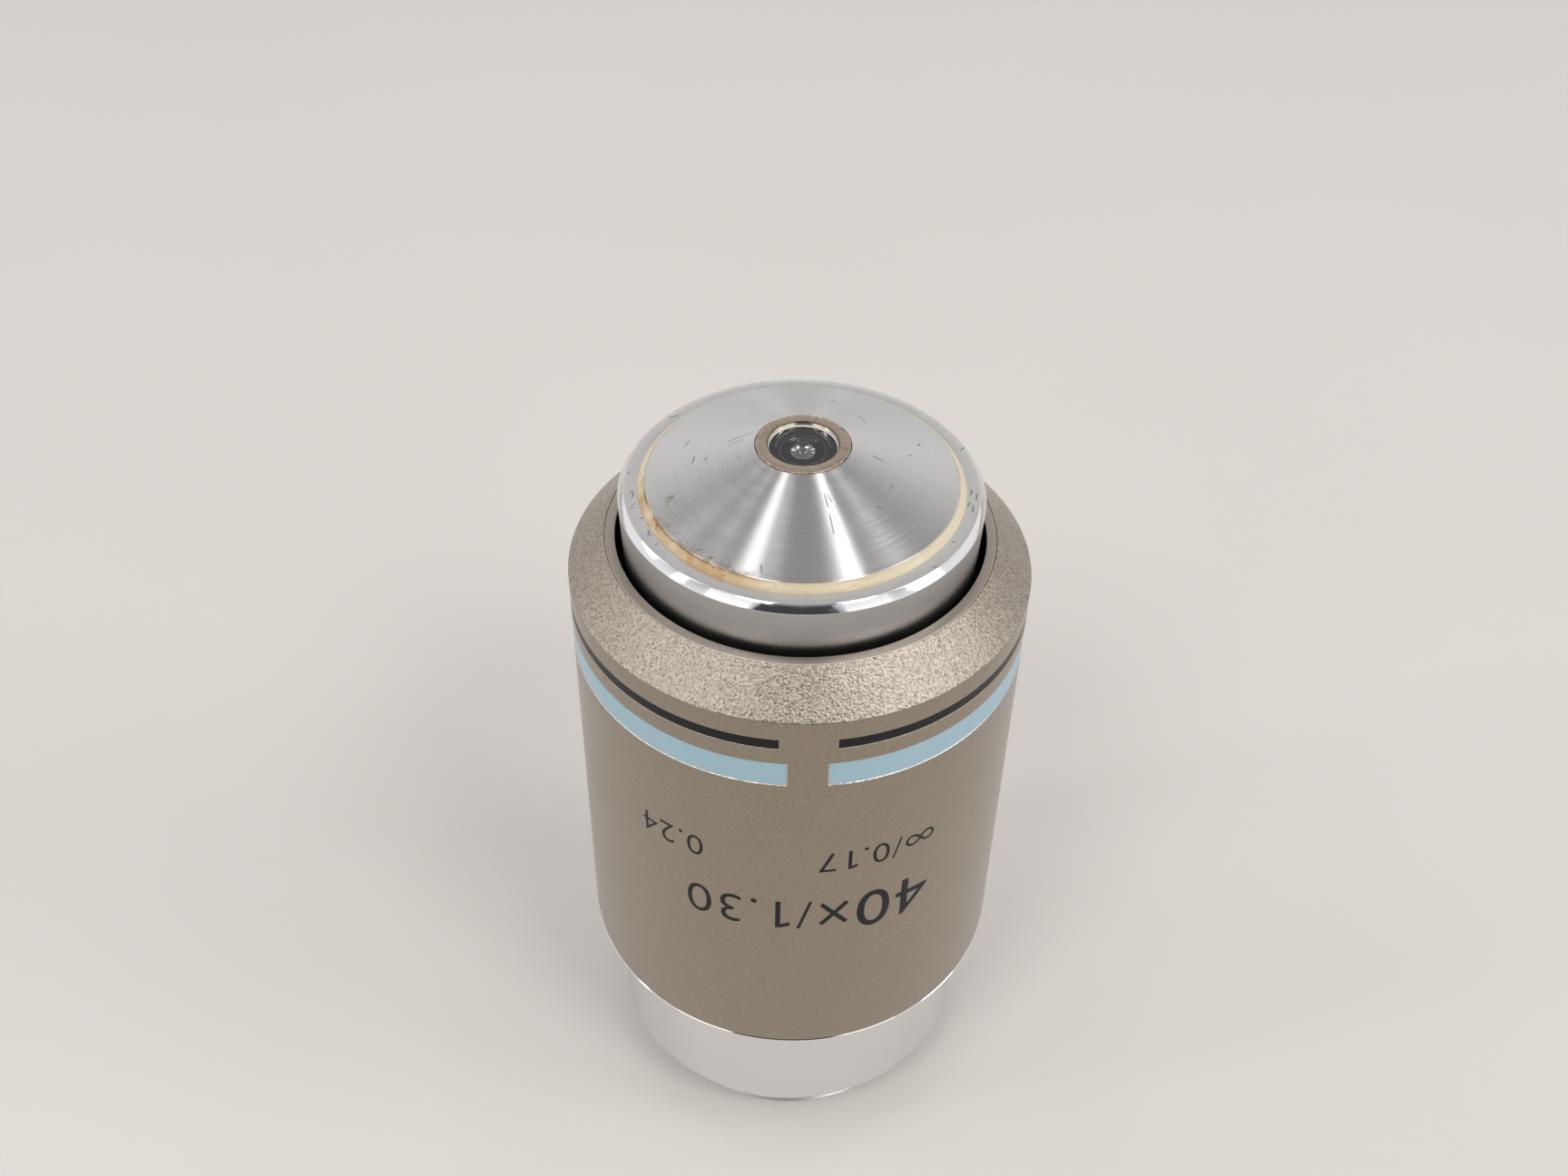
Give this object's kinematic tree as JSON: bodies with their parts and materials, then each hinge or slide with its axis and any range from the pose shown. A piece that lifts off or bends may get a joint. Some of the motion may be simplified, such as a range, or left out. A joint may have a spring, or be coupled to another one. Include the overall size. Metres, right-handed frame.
{
  "type": "microscope objective",
  "caption": "Screw-in immersion objective: champagne sleeve with colour bands, polished seating collar, and a sprung conical nose that carries the lens stack and retracts on contact.",
  "frame": {"origin": "centre of the mounting thread's end face, on which the objective stands", "axes": "+Z along the optical axis from the thread to the front lens; the break in the colour bands faces -Y"},
  "size_m": [0.034, 0.034, 0.0648],
  "materials": {
    "polished_chrome": "polished plating on brass",
    "champagne_satin": "bead-blasted, champagne satin",
    "black_paint": "enamel in an engraved groove",
    "blue_paint": "enamel in an engraved groove",
    "spring_steel": "drawn and ground",
    "black_anodised": "matt black anodised",
    "blackened_brass": "matt blackened",
    "satin_chrome": "satin, turned, slightly scratched",
    "seal_compound": "cured cream compound, stained",
    "worn_nickel": "tarnished plating",
    "lens_glass": "polished, coated"
  },
  "bodies": {
    "mount": {"mount_body": "polished_chrome", "sleeve": "champagne_satin", "immersion_band": "black_paint", "magnification_band": "blue_paint", "parfocal_shim": "spring_steel", "stop_ring": "black_anodised", "guide_screw": "spring_steel", "return_spring": "spring_steel"},
    "lens_unit": {"lens_barrel": "blackened_brass", "nose_ring": "satin_chrome", "nose_cone": "satin_chrome", "seal_bead": "seal_compound", "tip_cell": "worn_nickel", "front_lens": "lens_glass", "meniscus_cell": "blackened_brass", "meniscus_lens": "lens_glass", "singlet_cell": "blackened_brass", "singlet_lens": "lens_glass", "front_spacer": "blackened_brass", "front_doublet_cell": "blackened_brass", "front_doublet_crown": "lens_glass", "front_doublet_flint": "lens_glass", "middle_doublet_cell": "blackened_brass", "middle_doublet_flint": "lens_glass", "middle_doublet_crown": "lens_glass", "gauss_front_cell": "blackened_brass", "gauss_front_crown": "lens_glass", "gauss_front_flint": "lens_glass", "pupil_stop": "black_anodised", "gauss_rear_cell": "blackened_brass", "gauss_rear_flint": "lens_glass", "gauss_rear_crown": "lens_glass", "retaining_ring": "black_anodised"}
  },
  "joints": [
    {"name": "nose_retract", "type": "slide", "parent": "mount", "child": "lens_unit", "axis": [0, 0, -1], "range_m": [0, 0.0025], "stiffness_N_per_m": 400, "springref_m": -0.008, "deforming": ["return_spring"]}
  ]
}
